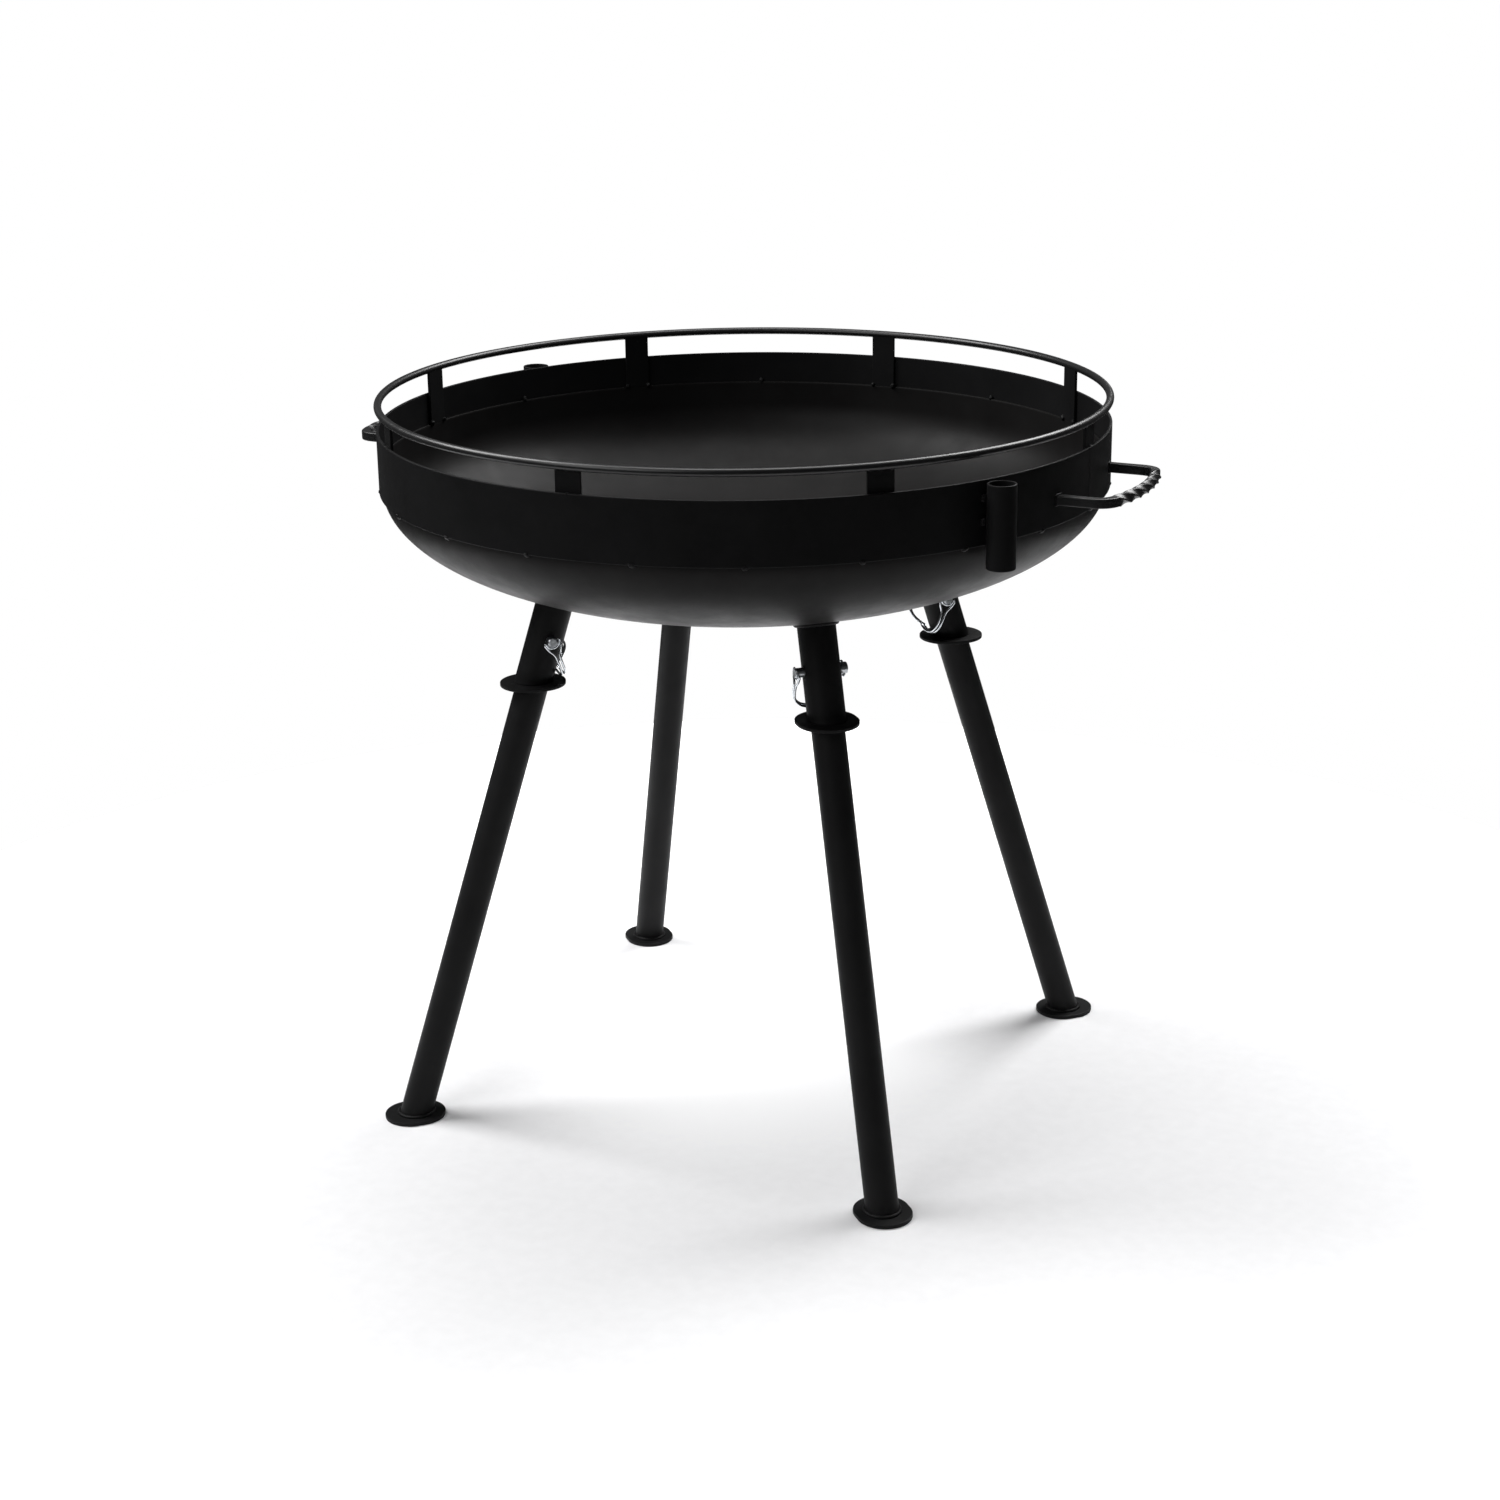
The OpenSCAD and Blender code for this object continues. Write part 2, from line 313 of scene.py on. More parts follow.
BEAD_SIDES = 12
BEAD_PITCH = 3.2 * MM
BEAD_RIPPLE = 0.16
BEAD_WANDER = 0.22
BEAD_WANDER_SPAN = 6 * MM
BEAD_END = 0.35
BLOB_LUMP = 0.28
BLOB_LUMPS_ACROSS = 1.7
BLOB_VARIETY = 900


def bead(path, radius, closed=True):
    """A weld bead along a path: a round cord with the ripples of the weld pool."""
    travelled = 0.0
    scales = []
    for i, point in enumerate(path):
        if i:
            travelled += (point - path[i - 1]).length
        pool = abs(math.sin(math.pi * travelled / BEAD_PITCH))
        wander = noise.noise(point / BEAD_WANDER_SPAN) * BEAD_WANDER
        scales.append(1 + BEAD_RIPPLE * pool + wander)
    if not closed:
        scales[0] = scales[-1] = BEAD_END
    first = (path[1] - path[0]).orthogonal()
    return swept(path, circle(radius, BEAD_SIDES), first, closed, scales=scales)


def blob(centre, outward, size, flat):
    """A weld tack: a lumpy drop of metal that is flat * size thick along outward."""
    work = bmesh.new()
    bmesh.ops.create_icosphere(work, subdivisions=3, radius=1)
    turn = outward.to_track_quat("Z", "Y").to_matrix()
    points = []
    for vert in work.verts:
        lump = 1 + BLOB_LUMP * noise.noise(vert.co * BLOB_LUMPS_ACROSS + centre * BLOB_VARIETY)
        local = Vector((vert.co.x, vert.co.y, vert.co.z * flat)) * lump * size
        points.append(centre + turn @ local)
    faces = [tuple(vert.index for vert in face.verts) for face in work.faces]
    work.free()
    return points, faces


# ---------------------------------------------------------------- materials

def node_link(tree, source, output, target, socket):
    tree.links.new(source.outputs[output], target.inputs[socket])


def noise_node(tree, coords, scale, detail, roughness=0.55):
    """Noise at so many features to the metre."""
    made = tree.nodes.new("ShaderNodeTexNoise")
    made.inputs["Scale"].default_value = scale
    made.inputs["Detail"].default_value = detail
    made.inputs["Roughness"].default_value = roughness
    node_link(tree, coords, "Object", made, "Vector")
    return made


def ramp_node(tree, source, stops):
    """A colour ramp over a noise: stops are (place, colour)."""
    made = tree.nodes.new("ShaderNodeValToRGB")
    for element, (place, colour) in zip(made.color_ramp.elements, stops):
        element.position = place
        element.color = (*colour, 1)
    node_link(tree, source, "Fac", made, "Fac")
    return made


def range_node(tree, source, low, high, start=0.3, end=0.7):
    made = tree.nodes.new("ShaderNodeMapRange")
    made.inputs["From Min"].default_value = start
    made.inputs["From Max"].default_value = end
    made.inputs["To Min"].default_value = low
    made.inputs["To Max"].default_value = high
    node_link(tree, source, "Fac", made, "Value")
    return made


def bump_node(tree, source, strength, distance, under=None):
    made = tree.nodes.new("ShaderNodeBump")
    made.inputs["Strength"].default_value = strength
    made.inputs["Distance"].default_value = distance
    node_link(tree, source, "Fac", made, "Height")
    if under:
        node_link(tree, under, "Normal", made, "Normal")
    return made


def new_material(name):
    made = bpy.data.materials.new(name)
    made.use_nodes = True
    tree = made.node_tree
    return made, tree, tree.nodes["Principled BSDF"], tree.nodes.new("ShaderNodeTexCoord")


# Features to the metre in the black coats and the zinc
CLOUDS = 14
HANDLING = 38
PEEL = 240
PIMPLES = 1500
SPANGLES = 420
ZINC_MARKS = 900
DRAW_LINES = 1800


def black_coat(name, dark, light, roughness, specular, grain):
    """Baked black coat: cloudy tone, uneven gloss, a fine pimpled grain over slow orange peel."""
    made, tree, shader, coords = new_material(name)
    cloud = noise_node(tree, coords, CLOUDS, 5)
    tone = ramp_node(tree, cloud, ((0.32, dark), (0.72, light)))
    node_link(tree, tone, "Color", shader, "Base Color")
    handled = noise_node(tree, coords, HANDLING, 6, 0.65)
    gloss = range_node(tree, handled, *roughness)
    node_link(tree, gloss, "Result", shader, "Roughness")
    peel = bump_node(tree, noise_node(tree, coords, PEEL, 2), 0.12, 0.4 * MM)
    pimples = bump_node(tree, noise_node(tree, coords, PIMPLES, 3), grain, 0.15 * MM, peel)
    node_link(tree, pimples, "Normal", shader, "Normal")
    shader.inputs["Specular IOR Level"].default_value = specular
    return made


def zinc(name, dark, light, roughness):
    """Bright zinc plate: a bluish metal with faint spangle and handling marks."""
    made, tree, shader, coords = new_material(name)
    spangle = noise_node(tree, coords, SPANGLES, 4, 0.6)
    tone = ramp_node(tree, spangle, ((0.3, dark), (0.7, light)))
    node_link(tree, tone, "Color", shader, "Base Color")
    marks = noise_node(tree, coords, ZINC_MARKS, 5, 0.7)
    gloss = range_node(tree, marks, *roughness)
    node_link(tree, gloss, "Result", shader, "Roughness")
    drawn = bump_node(tree, noise_node(tree, coords, DRAW_LINES, 2), 0.1, 0.1 * MM)
    node_link(tree, drawn, "Normal", shader, "Normal")
    shader.inputs["Metallic"].default_value = 1
    return made


MATERIALS = {
    "bowl_black": black_coat("heat_coat", (0.0062, 0.0058, 0.0058), (0.0102, 0.0098, 0.0097),
                             (0.40, 0.50), 0.09, 0.22),
    "rim_black": black_coat("rim_coat", (0.0057, 0.0057, 0.0059), (0.0089, 0.0089, 0.0093),
                            (0.40, 0.50), 0.10, 0.25),
    "leg_black": black_coat("leg_coat", (0.0064, 0.0064, 0.0066), (0.0106, 0.0106, 0.0110),
                            (0.46, 0.56), 0.12, 0.32),
    "bar_black": black_coat("bar_coat", (0.0070, 0.0070, 0.0072), (0.0110, 0.0110, 0.0114),
                            (0.30, 0.38), 0.42, 0.25),
    "pin_steel": zinc("pin_zinc", (0.42, 0.44, 0.46), (0.62, 0.64, 0.66), (0.26, 0.36)),
    "bail_wire": zinc("wire_zinc", (0.60, 0.63, 0.66), (0.82, 0.85, 0.88), (0.16, 0.26)),
}


def piece(name, mesh, slot, body="root", nodes=(), coat=None):
    """A finished piece of the object, riding on its body, in place of its CAD nodes."""
    made = bpy.data.objects.new(name, mesh)
    bpy.context.scene.collection.objects.link(made)
    mesh.materials.clear()
    mesh.materials.append(MATERIALS[coat or slot])
    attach(made, body)
    if nodes:
        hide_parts(*nodes)
    return made


# ---------------------------------------------------------------- bowl, band and rail

RIM_ROUND = 1.1 * MM
DISH_STEPS = 56


def dish(radius, depth):
    """Quarter ellipse from the axis out to the wall."""
    curve = []
    for i in range(DISH_STEPS + 1):
        t = math.pi / 2 * i / DISH_STEPS
        curve.append((radius * math.sin(t), DISH_Z - depth * math.cos(t)))
    return curve


def make_bowl():
    inner = BOWL_R - SHEET
    rim = [(BOWL_R, RIM_Z - 2 * RIM_ROUND), (BOWL_R, RIM_Z - RIM_ROUND)]
    rim += [(BOWL_R - RIM_ROUND * 0.3, RIM_Z - RIM_ROUND * 0.3), (BOWL_R - RIM_ROUND, RIM_Z)]
    rim += [(inner + RIM_ROUND, RIM_Z), (inner + RIM_ROUND * 0.3, RIM_Z - RIM_ROUND * 0.3)]
    rim += [(inner, RIM_Z - RIM_ROUND), (inner, RIM_Z - 2 * RIM_ROUND)]
    section = dish(BOWL_R, DISH_DEPTH) + rim + dish(inner, DISH_DEPTH - SHEET)[::-1]
    piece("bowl_finished", mesh_of("bowl", [turned(section)]), "bowl_black", nodes=["bowl"])


def make_band():
    """A rolled strip, very slightly out of round, with a butt seam."""
    edge = 0.8 * MM
    corners = ((BAND_IN, BAND_LOW), (BAND_R, BAND_LOW), (BAND_R, BAND_TOP), (BAND_IN, BAND_TOP))
    section = rounded(corners, edge)
    half_gap = SEAM_GAP / BAND_R / 2
    rings = []
    for i in range(ROUND_STEPS + 1):
        a = SEAM_BEARING + half_gap + (2 * math.pi - 2 * half_gap) * i / ROUND_STEPS
        waver = -0.12 * MM * (1 + math.sin(5 * a) * math.cos(3 * a + 1))
        rings.append([Vector(((r + waver) * math.cos(a), (r + waver) * math.sin(a), z))
                      for r, z in section])
    piece("rim_band_finished", mesh_of("rim_band", [skin(rings, False)]), "rim_black",
          nodes=["rim_band"])
    seam_r = BAND_R - 2.1 * MM
    seam = [Vector((seam_r * math.cos(SEAM_BEARING), seam_r * math.sin(SEAM_BEARING), z * MM))
            for z in range(round((BAND_LOW + edge) / MM), round((BAND_TOP - edge) / MM))]
    piece("band_seam_weld", mesh_of("band_seam_weld", [bead(seam, 1.5 * MM, False)]), "rim_black")


def make_rail():
    ring = [(RAIL_R + x, RAIL_Z + z) for x, z in circle(RAIL_BAR, 24)]
    piece("top_rail_finished", mesh_of("top_rail", [turned(ring)]), "rim_black",
          nodes=["top_rail"], coat="bar_black")


def make_posts():
    """Flat straps with eased edges; make_tacks adds their welds to the rail and the bowl's rim."""
    top = RAIL_Z - RAIL_BAR * 0.55
    outline = rounded(((POST_IN, -POST_HALF), (POST_OUT, -POST_HALF),
                       (POST_OUT, POST_HALF), (POST_IN, POST_HALF)), 0.5 * MM)
    strap = mesh_of("strap", [skin([[Vector((x, y, z)) for x, y in outline]
                                    for z in (RIM_Z, RIM_Z + MM, top - MM, top)], False)])
    for k in range(POST_COUNT):
        turn = bearing(2 * math.pi * k / POST_COUNT)
        name = f"rail_post_{k + 1}"
        piece(name + "_finished", placed(strap, name, turn), "rim_black", nodes=[name])


# ---------------------------------------------------------------- handles

GRIP_STEPS = 132
BEND_STEPS = 8
HANDLE_SINK = 0.4 * MM
HANDLE_EASE = 1.1 * MM
HANDLE_BEAD = 1.3 * MM


def band_face(y):
    """How far out the band's curved face is, y to the side of a handle's middle."""
    return math.sqrt(BAND_R ** 2 - y ** 2)


def handle_line():
    """A handle's centre line and its twist, in the plane of the handle, X outwards."""
    grip_angle = math.asin(HANDLE_HALF / GRIP_R)
    bend_angle = BEND / GRIP_R

    grip_middle = HANDLE_REACH + GRIP_BOW - GRIP_R

    def grip_point(a):
        return Vector((grip_middle + GRIP_R * math.cos(a), GRIP_R * math.sin(a), 0))

    corner = Vector((HANDLE_REACH, -HANDLE_HALF, 0))
    root = Vector((band_face(HANDLE_ROOT_HALF + HANDLE_BAR / 2) - HANDLE_SINK, -HANDLE_ROOT_HALF, 0))
    start = corner - BEND * (corner - root).normalized()
    end = grip_point(bend_angle - grip_angle)
    near = []
    for i in range(BEND_STEPS + 1):
        t = i / BEND_STEPS
        near.append(start.lerp(corner, t).lerp(corner.lerp(end, t), t))
    grip = [grip_point((bend_angle - grip_angle) * (1 - 2 * i / GRIP_STEPS))
            for i in range(1, GRIP_STEPS)]
    far = [Vector((p.x, -p.y, 0)) for p in reversed(near)]
    path = [root] + near + grip + far + [Vector((root.x, -root.y, 0))]
    turns = [GRIP_TWIST * min(max((i - BEND_STEPS - 1) / GRIP_STEPS, 0), 1)
             for i in range(len(path))]
    return [p + UP * HANDLE_Z for p in path], turns


def make_handles():
    """Square bar with eased edges, bent, and twisted cold along the grip."""
    half = HANDLE_BAR / 2
    outline = rounded(((-half, -half), (half, -half), (half, half), (-half, half)), HANDLE_EASE)
    path, turns = handle_line()
    bar = mesh_of("handle", [swept(path, outline, UP, turns=turns)])
    ring = half + 0.1 * MM
    corners = ((-ring, -ring), (ring, -ring), (ring, ring), (-ring, ring))
    welds = []
    for side in (-1, 1):
        loop = []
        for y, z in rounded(corners, 1.4 * MM):
            out = band_face(HANDLE_ROOT_HALF + side * y) + 0.1 * MM
            loop.append(Vector((out, side * HANDLE_ROOT_HALF + y, HANDLE_Z + z)))
        welds.append(bead(smooth_loop(loop, 3), HANDLE_BEAD))
    weld = mesh_of("handle_welds", welds)
    for name, turn in (("handle_right", bearing(0)), ("handle_left", bearing(math.pi))):
        piece(name + "_finished", placed(bar, name, turn), "rim_black", nodes=[name],
              coat="bar_black")
        piece(name + "_welds", placed(weld, name + "_welds", turn), "rim_black")


# ---------------------------------------------------------------- accessory sockets

def tube_section(outer, inner, low, high, lip):
    """Closed (radius, height) section of a tube wall with eased lips."""
    return rounded(((outer, low), (outer, high), (inner, high), (inner, low)), lip)


def pad(reach, drop):
    """A spacer block between band and tube, and the weld lumps at its two ends."""
    shallow, deep = BAND_R - 0.6 * MM, reach - ACC_D / 2 + 1.2 * MM
    ends = PAD_HALF - 3 * MM
    level = BAND_TOP - drop
    outline = rounded(((shallow, -ends), (deep, -ends), (deep, ends), (shallow, ends)), 0.8 * MM)
    tall = PAD_TALL / 2 - 0.6 * MM
    shells = [skin([[Vector((x, y, level + z)) for x, y in outline] for z in (-tall, tall)], False)]
    for side in (-1, 1):
        for lift, size in ((-1.2 * MM, 2.5 * MM), (1.4 * MM, 2.2 * MM)):
            centre = Vector((BAND_R + 1.3 * MM, side * (PAD_HALF - 2.8 * MM), level + lift))
            shells.append(blob(centre, Vector((1, side, 0)), size, 0.9))
    return shells


def make_accessory_sockets():
    for side in ("front", "back"):
        node = f"accessory_socket_{side}"
        low, high = (corner.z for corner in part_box(node))
        middle = Vector(MOUNTS[node]["pos_m"])
        angle = math.atan2(middle.y, middle.x)
        reach = Vector((middle.x, middle.y, 0)).length
        outer = ACC_D / 2
        section = tube_section(outer, outer - ACC_WALL, low, high, 0.6 * MM)
        to_place = bearing(angle) @ Matrix.Translation((reach, 0, 0))
        tube = mesh_of("accessory_socket", [turned(section, TUBE_STEPS)])
        piece(node + "_finished", placed(tube, node, to_place), "rim_black", nodes=[node])
        pads = mesh_of("socket_pads", [shell for drop in PAD_DROPS for shell in pad(reach, drop)])
        piece(f"socket_pads_{side}_finished", placed(pads, f"socket_pads_{side}", bearing(angle)),
              "rim_black", nodes=[f"socket_pads_{side}"])


# ---------------------------------------------------------------- legs

SOCKET_BEAD = 2.3 * MM
COLLAR_BEAD = 1.6 * MM
FOOT_BEAD = 2.0 * MM
SOCKET_LIP = 0.5 * MM
LEG_LIP = 0.4 * MM

def on_leg(angle, radius, along):
    """A point on a cylinder about the leg's axis."""
    across = LEG_OUT * math.cos(angle) + Vector((0, 1, 0)) * math.sin(angle)
    return Vector((FOOT_R, 0, 0)) + across * radius + LEG_AXIS * along


def to_height(height):
    """Where a line along the leg meets a level plane."""
    def end(angle, radius):
        return (height - radius * math.cos(angle) * math.sin(SPLAY)) / math.cos(SPLAY)
    return end


def to_bowl(angle, radius):
    """Where a line along the leg meets the underside of the bowl."""
    low, high = 0.0, DISH_Z / math.cos(SPLAY)
    for _ in range(40):
        middle = (low + high) / 2
        p = on_leg(angle, radius, middle)
        reach = (p.x ** 2 + p.y ** 2) / BOWL_R ** 2 + ((p.z - DISH_Z) / DISH_DEPTH) ** 2
        if reach > 1:
            low = middle
        else:
            high = middle
    return low


def square_end(angle, radius):
    return LEG_TOP / math.cos(SPLAY)


def leg_wall(name, outer, inner, low, high, lip):
    """A tube along the leg between two end shapes, with eased lips."""
    rings = []
    steps = ((0, 3), (0, 1), (0.3, 0.3), (1, 0))
    for i in range(TUBE_STEPS):
        angle = 2 * math.pi * i / TUBE_STEPS
        ring = [(outer - lip * a, low, lip * b) for a, b in steps]
        ring += [(inner + lip * a, low, lip * b) for a, b in reversed(steps)]
        ring += [(inner + lip * a, high, -lip * b) for a, b in steps]
        ring += [(outer - lip * a, high, -lip * b) for a, b in reversed(steps)]
        rings.append([on_leg(angle, r, end(angle, r) + inset) for r, end, inset in ring])
    return mesh_of(name, [skin(rings, True)])


def ring_on_leg(radius, end, lift, steps=96):
    """A closed line round the leg, a little away from one of its end shapes."""
    angles = (2 * math.pi * i / steps for i in range(steps))
    return [on_leg(a, radius, end(a, radius) + lift) for a in angles]


def oval(x, round_r, shift, steps=TUBE_STEPS):
    """Outline of a plate with two straight sides and round ends, about x."""
    points = []
    for i in range(steps):
        a = 2 * math.pi * (i + 0.5) / steps
        slide = shift if math.cos(a) > 0 else -shift
        points.append((x + slide + round_r * math.cos(a), round_r * math.sin(a)))
    return points


def plate(name, middle, round_r, shift, low, high, hole):
    """An oval plate with eased edges, solid or with a slanting hole for the leg."""
    ease = 0.5 * MM
    levels = ((low, ease), (low + ease * 0.3, ease * 0.3), (low + ease, 0), (low + 2 * ease, 0),
              (high - 2 * ease, 0), (high - ease, 0), (high - ease * 0.3, ease * 0.3), (high, ease))
    rings = [[Vector((x, y, z)) for x, y in oval(middle, round_r - inset, shift)]
             for z, inset in levels]
    if not hole:
        rings.insert(0, [Vector((x, y, low)) for x, y in oval(middle, round_r - 3 * ease, shift)])
        rings.append([Vector((x, y, high)) for x, y in oval(middle, round_r - 3 * ease, shift)])
        return mesh_of(name, [skin(rings, False)])
    for z in (high, low):
        end = to_height(z)
        angles = (2 * math.pi * (i + 0.5) / TUBE_STEPS for i in range(TUBE_STEPS))
        rings.append([on_leg(a, hole, end(a, hole)) for a in angles])
    return mesh_of(name, [skin(rings, True)])


def make_legs():
    pin_start = Vector((PIN_R, -SOCKET_D, PIN_Z))
    pin_end = Vector((PIN_R, SOCKET_D, PIN_Z))
    pin_cutter = rod(pin_start, pin_end, PIN_HOLE / 2)
    level = to_height(COLLAR_TOP)
    socket = leg_wall("leg_socket", SOCKET_D / 2, SOCKET_BORE / 2, level, to_bowl, SOCKET_LIP)
    tube = leg_wall("leg_tube", LEG_D / 2, LEG_D / 2 - LEG_WALL, to_height(FOOT_T), square_end,
                    LEG_LIP)
    collar_x = FOOT_R - (COLLAR_LOW + COLLAR_TOP) / 2 * math.tan(SPLAY)
    shapes = {
        "leg_socket": drilled(socket, pin_cutter),
        "leg_tube": drilled(tube, pin_cutter),
        "stop_collar": plate("stop_collar", collar_x, COLLAR_ROUND, COLLAR_SHIFT,
                             COLLAR_LOW, COLLAR_TOP, LEG_D / 2),
        "foot_plate": plate("foot_plate", FOOT_R, FOOT_ROUND, FOOT_SHIFT, 0, FOOT_T, 0),
    }
    under_bowl = ring_on_leg(SOCKET_D / 2 + MM, to_bowl, -0.8 * MM, 144)
    under_collar = ring_on_leg(LEG_D / 2 + 0.6 * MM, to_height(COLLAR_LOW), -0.5 * MM, 120)
    over_foot = ring_on_leg(LEG_D / 2 + 0.7 * MM, to_height(FOOT_T), 0.6 * MM, 120)
    welds = {
        "socket_weld": bead(under_bowl, SOCKET_BEAD),
        "collar_weld": bead(under_collar, COLLAR_BEAD),
        "foot_weld": bead(over_foot, FOOT_BEAD),
    }
    for k in range(LEG_COUNT):
        turn = bearing(LEG_FIRST + 2 * math.pi * k / LEG_COUNT)
        for shape, mesh in shapes.items():
            name = f"{shape}_{k + 1}"
            piece(name + "_finished", placed(mesh, name, turn), "leg_black", nodes=[name])
        for weld, shell in welds.items():
            name = f"{weld}_{k + 1}"
            piece(name, placed(mesh_of(name, [shell]), name, turn), "leg_black")


# ---------------------------------------------------------------- lock pins and bails

def pin_mesh():
    """A round pin with a head, its edges eased, and a cross hole for the wire."""
    shaft, head = PIN_D / 2, PIN_HEAD_D / 2
    back = -PIN_SEAT - PIN_HEAD
    ease = 0.6 * MM
    profile = [(0, back), (head - ease, back), (head - ease * 0.3, back + ease * 0.3)]
    profile += [(head, back + ease), (head, -PIN_SEAT - ease)]
    profile += [(head - ease * 0.3, -PIN_SEAT - ease * 0.3), (head - ease, -PIN_SEAT)]
    profile += [(shaft, -PIN_SEAT), (shaft, PIN_TIP - PIN_CHAMFER)]
    profile += [(shaft - PIN_CHAMFER, PIN_TIP), (shaft * 0.52, PIN_TIP)]
    profile += [(shaft * 0.46, PIN_TIP - 0.35 * MM), (shaft * 0.4, PIN_TIP), (0, PIN_TIP)]
    upright = mesh_of("lock_pin", [turned(profile, 48)])
    upright.transform(Matrix.Rotation(-math.pi / 2, 4, "X"))
    lean = BAIL_LEAN[0]
    across = Vector((math.cos(lean), 0, -math.sin(lean))) * PIN_HEAD_D
    hinge = Vector((0, HINGE_Y, 0))
    return drilled(upright, rod(hinge - across, hinge + across, HINGE_HOLE / 2))


def hang(q):
    """Along the pin, droop and spread become a point in the pin frame."""
    along, droop, spread = (value * MM for value in q)
    t = min(max((along - BAIL_TWIST[0]) / (BAIL_TWIST[1] - BAIL_TWIST[0]), 0), 1)
    lean = BAIL_LEAN[0] + (BAIL_LEAN[1] - BAIL_LEAN[0]) * t * t * (3 - 2 * t)
    x = spread * math.cos(lean) - droop * math.sin(lean)
    return Vector((x, along, -droop * math.cos(lean) - spread * math.sin(lean)))


def bail_mesh():
    """A closed loop of spring wire, hinged in the head and cradling the pin's tip."""
    there = [Vector(q) for q in BAIL_STRAND]
    back = [Vector((x, y, -z)) for x, y, z in BAIL_STRAND[-2:0:-1]]
    path = [hang(q) for q in smooth_loop(there + back, BAIL_STEPS)]
    wire = swept(path, circle(WIRE_D / 2, WIRE_SIDES), Vector((0, 1, 0)), True)
    return mesh_of("pin_bail", [wire])


def make_pins():
    pin, bail = pin_mesh(), bail_mesh()
    out_to_pin = Matrix.Translation((PIN_R, 0, PIN_Z))
    for k in range(LEG_COUNT):
        side = Matrix.Diagonal((1, PIN_SIDE[k], 1, 1))
        place = bearing(LEG_FIRST + 2 * math.pi * k / LEG_COUNT) @ out_to_pin @ side
        name = f"lock_pin_{k + 1}"
        piece(name + "_finished", placed(pin, name, place), "pin_steel", f"pin_{k + 1}", [name])
        name = f"pin_bail_{k + 1}"
        piece(name + "_finished", placed(bail, name, place), "bail_wire", f"bail_{k + 1}", [name])


# ---------------------------------------------------------------- tacks round the rim

OUTER_TACKS = 22
OUTER_TACK_FIRST = math.radians(295.7)


def outward_at(angle):
    return Vector((math.cos(angle), math.sin(angle), 0))


def make_tacks():
    """Tack welds: band to bowl underneath, bowl to band inside, and the straps' own tacks."""
    rng = random.Random(7)
    under = []
    for i in range(OUTER_TACKS):
        angle = OUTER_TACK_FIRST + 2 * math.pi * i / OUTER_TACKS + rng.uniform(-0.008, 0.008)
        out = outward_at(angle)
        centre = out * (BAND_R - 1.7 * MM) + UP * (BAND_LOW - 0.4 * MM)
        under.append(blob(centre, out - UP, rng.uniform(3.0, 3.9) * MM, 0.55))
    piece("band_foot_tacks", mesh_of("band_foot_tacks", under), "rim_black")
    inside = []
    for i in range(POST_COUNT):
        angle = 2 * math.pi * i / POST_COUNT
        for edge in (-1, 1):
            out = outward_at(angle + edge * (POST_HALF - MM) / POST_IN)
            centre = out * (POST_IN + 0.2 * MM) + UP * (RIM_Z + 0.8 * MM)
            inside.append(blob(centre, UP, rng.uniform(2.2, 3.0) * MM, 1.1))
        out = outward_at(angle + math.pi / POST_COUNT)
        centre = out * (BAND_IN - 1.2 * MM) + UP * (RIM_Z + 0.9 * MM)
        inside.append(blob(centre, UP, rng.uniform(2.4, 3.2) * MM, 1.25))
    piece("bowl_rim_tacks", mesh_of("bowl_rim_tacks", inside), "rim_black")
    straps = []
    for i in range(POST_COUNT):
        angle = 2 * math.pi * i / POST_COUNT
        for edge in (-1, 0, 1):
            out = outward_at(angle + edge * POST_HALF * 0.8 / RAIL_R)
            centre = out * (POST_OUT - 0.4 * MM) + UP * (RAIL_Z - RAIL_BAR * 0.85)
            straps.append(blob(centre, out, rng.uniform(1.7, 2.2) * MM, 0.9))
        out = outward_at(angle)
        centre = out * BAND_IN + UP * (BAND_TOP - 0.5 * MM)
        straps.append(blob(centre, UP, rng.uniform(2.6, 3.2) * MM, 0.45))
    piece("strap_tacks", mesh_of("strap_tacks", straps), "rim_black")


# ---------------------------------------------------------------- studio

CAMERA_BEARING = math.radians(295.7)
CAMERA_REACH = 2.774
CAMERA_HEIGHT = 1.2977
CAMERA_DOWN = math.radians(18.517)
CAMERA_YAW = math.radians(-0.034)
CAMERA_ROLL = math.radians(-0.75)
CAMERA_LENS = 64.66
SENSOR = 36
FLOOR_R = 1.25
FLOOR_THICK = 2 * MM
FLOOR_DROP = 0.2 * MM
VIEW_AWAY = -outward_at(CAMERA_BEARING)
VIEW_RIGHT = VIEW_AWAY.cross(UP)


def make_camera():
    data = bpy.data.cameras.new("camera")
    data.lens = CAMERA_LENS
    data.sensor_width = SENSOR
    data.dof.use_dof = False
    camera = bpy.data.objects.new("camera", data)
    bpy.context.scene.collection.objects.link(camera)
    turn = Matrix.Rotation(CAMERA_BEARING + math.pi / 2 + CAMERA_YAW, 4, "Z")
    tilt = Matrix.Rotation(math.pi / 2 - CAMERA_DOWN, 4, "X")
    roll = Matrix.Rotation(CAMERA_ROLL, 4, "Z")
    stand = Matrix.Translation(outward_at(CAMERA_BEARING) * CAMERA_REACH + UP * CAMERA_HEIGHT)
    camera.matrix_world = stand @ turn @ tilt @ roll
    bpy.context.scene.camera = camera


def panel(name, place, aim, side, watts):
    """A soft square studio panel that the camera itself doesn't see."""
    data = bpy.data.lights.new(name, "AREA")
    data.shape = "SQUARE"
    data.size = side
    data.energy = watts
    light = bpy.data.objects.new(name, data)
    bpy.context.scene.collection.objects.link(light)
    turn = (aim - place).to_track_quat("-Z", "Y").to_matrix().to_4x4()
    light.matrix_world = Matrix.Translation(place) @ turn
    light.visible_camera = False


# Painted light on the floor: a glow in the middle, out to GLOW_REACH, lifts the bowl's shadow, and a
# glow from RIM_GLOW_FROM outwards fades the floor's edge into white.
GLOW = 0.24
GLOW_REACH = 0.34
RIM_GLOW = 0.45
RIM_GLOW_FROM = 0.65


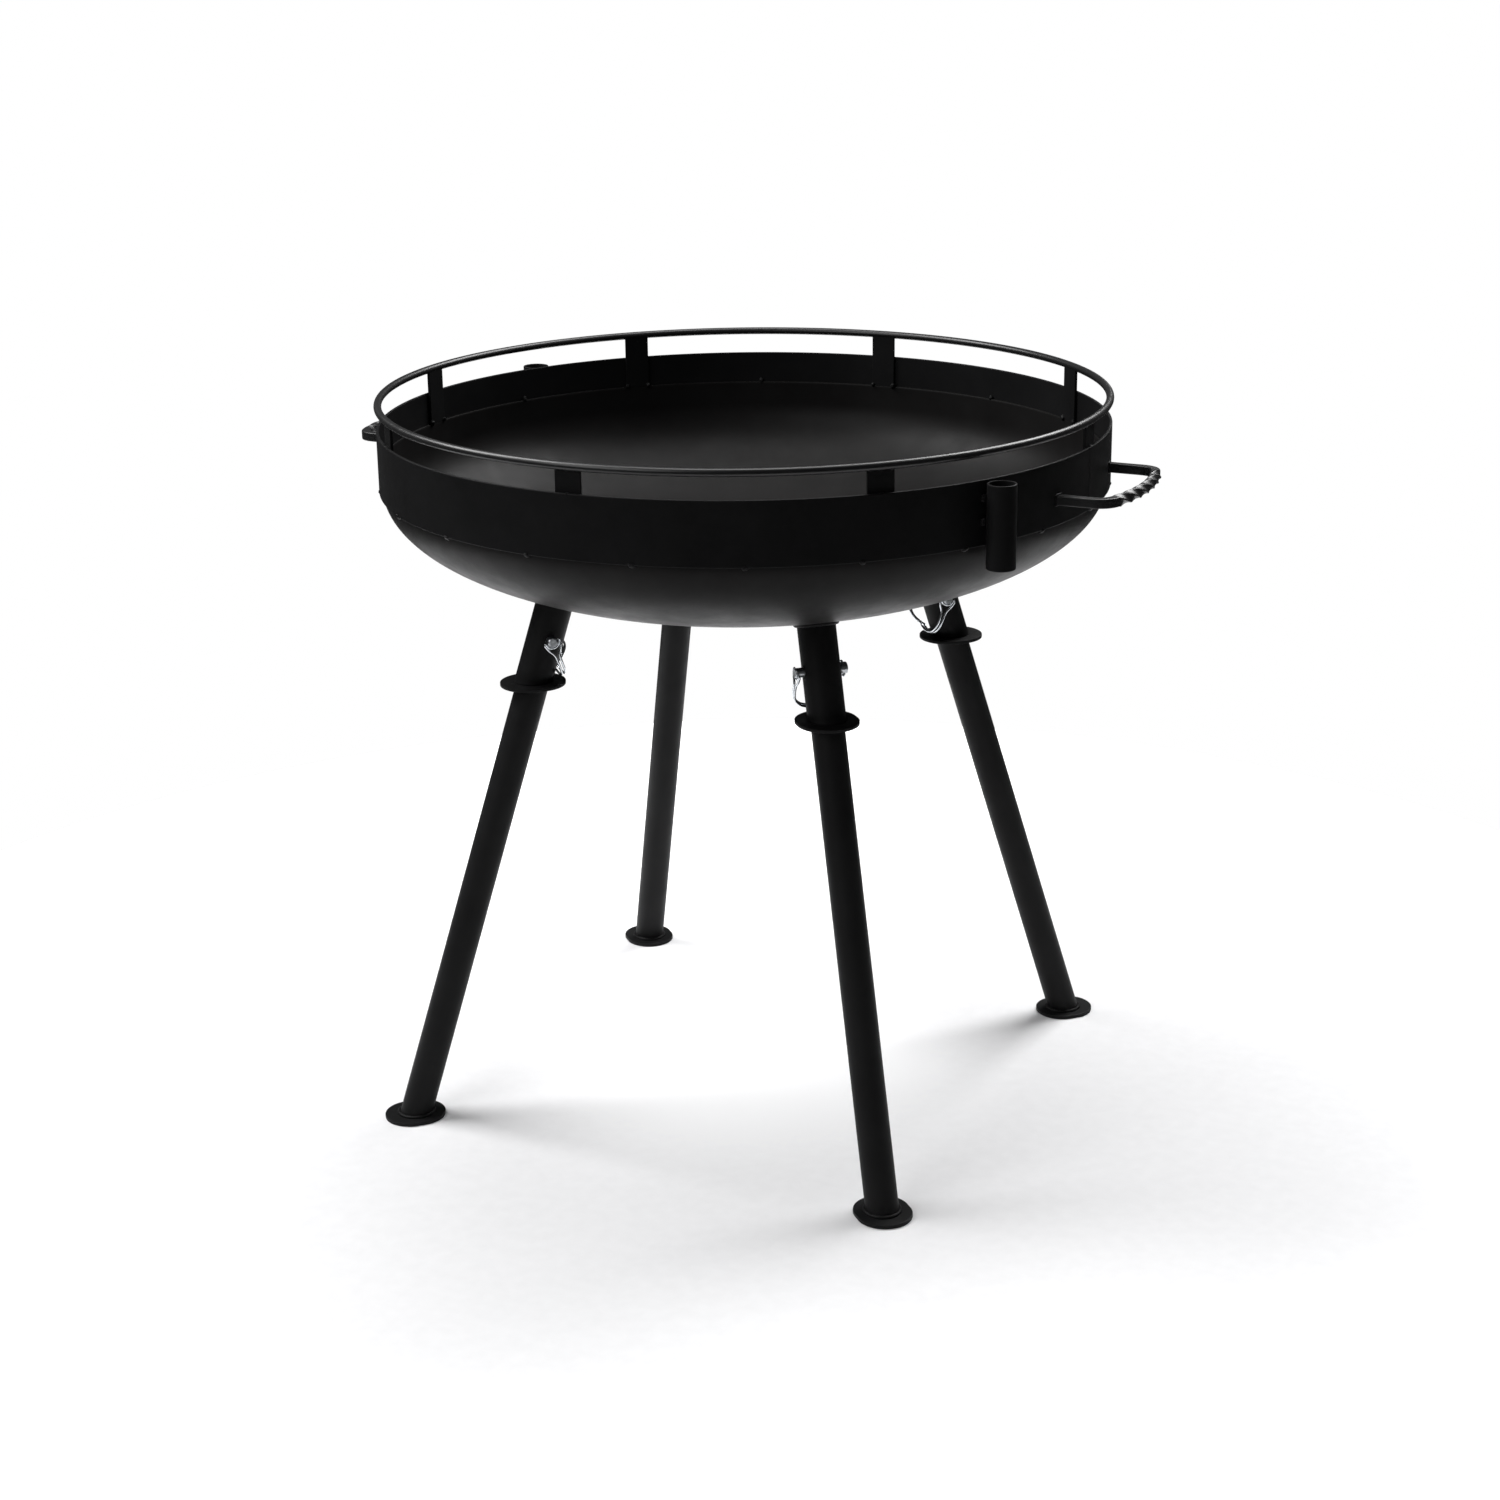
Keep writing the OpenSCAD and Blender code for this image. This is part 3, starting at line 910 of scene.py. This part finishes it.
def eased_range(tree, source, near, far, start, end):
    """A value that eases from start to end as the source goes from near to far."""
    made = tree.nodes.new("ShaderNodeMapRange")
    made.interpolation_type = "SMOOTHSTEP"
    made.inputs["From Min"].default_value = near
    made.inputs["From Max"].default_value = far
    made.inputs["To Min"].default_value = start
    made.inputs["To Max"].default_value = end
    node_link(tree, source, "Value", made, "Value")
    return made


def make_floor():
    """A pale round floor of paper with painted light: it glows in the middle to lift the bowl's
    shadow, and towards its rim so that its edge fades into the white.
    """
    section = [(0, 0), (FLOOR_R, 0), (FLOOR_R, -FLOOR_THICK), (0, -FLOOR_THICK)]
    floor = bpy.data.objects.new("floor", mesh_of("floor", [turned(section, 96)]))
    bpy.context.scene.collection.objects.link(floor)
    floor.location.z = -FLOOR_DROP
    paper, tree, shader, coords = new_material("floor_paper_painted_glow")
    fibre = noise_node(tree, coords, 60, 4)
    tone = ramp_node(tree, fibre, ((0.3, (0.90, 0.90, 0.91)), (0.7, (0.93, 0.93, 0.94))))
    node_link(tree, tone, "Color", shader, "Base Color")
    shader.inputs["Roughness"].default_value = 0.9
    shader.inputs["Specular IOR Level"].default_value = 0.05
    middle = tree.nodes.new("ShaderNodeVectorMath")
    middle.operation = "LENGTH"
    node_link(tree, coords, "Object", middle, 0)
    both = tree.nodes.new("ShaderNodeMath")
    both.operation = "ADD"
    # Painted light: emission that lifts the bowl's shadow in the middle and brightens the floor
    # towards its rim.
    node_link(tree, eased_range(tree, middle, 0, GLOW_REACH, GLOW, 0), "Result", both, 0)
    node_link(tree, eased_range(tree, middle, RIM_GLOW_FROM, FLOOR_R, 0, RIM_GLOW), "Result", both, 1)
    node_link(tree, both, "Value", shader, "Emission Strength")
    floor.data.materials.append(paper)


ROOM_LEVEL = 0.05
PANEL_SIDE = 1.5
PANEL_REACH = 2.6
MAIN_WATTS = 80


def make_room():
    """White to the camera, and a dim even grey to everything else."""
    world = bpy.data.worlds.new("room")
    bpy.context.scene.world = world
    world.use_nodes = True
    tree = world.node_tree
    tree.nodes.clear()
    output = tree.nodes.new("ShaderNodeOutputWorld")
    mix = tree.nodes.new("ShaderNodeMixShader")
    seen = tree.nodes.new("ShaderNodeBackground")
    lit = tree.nodes.new("ShaderNodeBackground")
    path = tree.nodes.new("ShaderNodeLightPath")
    node_link(tree, path, "Is Camera Ray", mix, 0)
    node_link(tree, lit, "Background", mix, 1)
    node_link(tree, seen, "Background", mix, 2)
    node_link(tree, mix, "Shader", output, "Surface")
    seen.inputs["Color"].default_value = (1, 1, 1, 1)
    lit.inputs["Color"].default_value = (ROOM_LEVEL, ROOM_LEVEL, ROOM_LEVEL, 1)


def dome_panel(name, aside, height, watts):
    """A panel that faces the rim, so many degrees right of straight behind it and so many up."""
    aside, height = math.radians(aside), math.radians(height)
    level = VIEW_AWAY * math.cos(aside) + VIEW_RIGHT * math.sin(aside)
    towards = level * math.cos(height) + UP * math.sin(height)
    rim = UP * BAND_TOP
    panel(name, rim + towards * PANEL_REACH, rim, PANEL_SIDE, watts)


def make_lights():
    """Two equal soft panels, half their power above the bowl, and a quarter in front."""
    dome_panel("back_right", 45, 45, MAIN_WATTS)
    dome_panel("left", -75, 45, MAIN_WATTS)
    dome_panel("above", 0, 80, MAIN_WATTS / 2)
    dome_panel("front_left", -135, 30, MAIN_WATTS / 4)
    bpy.context.scene.view_settings.view_transform = "Standard"


make_bowl()
make_band()
make_rail()
make_posts()
make_handles()
make_accessory_sockets()
make_legs()
make_pins()
make_tacks()
make_floor()
make_room()
make_lights()
make_camera()
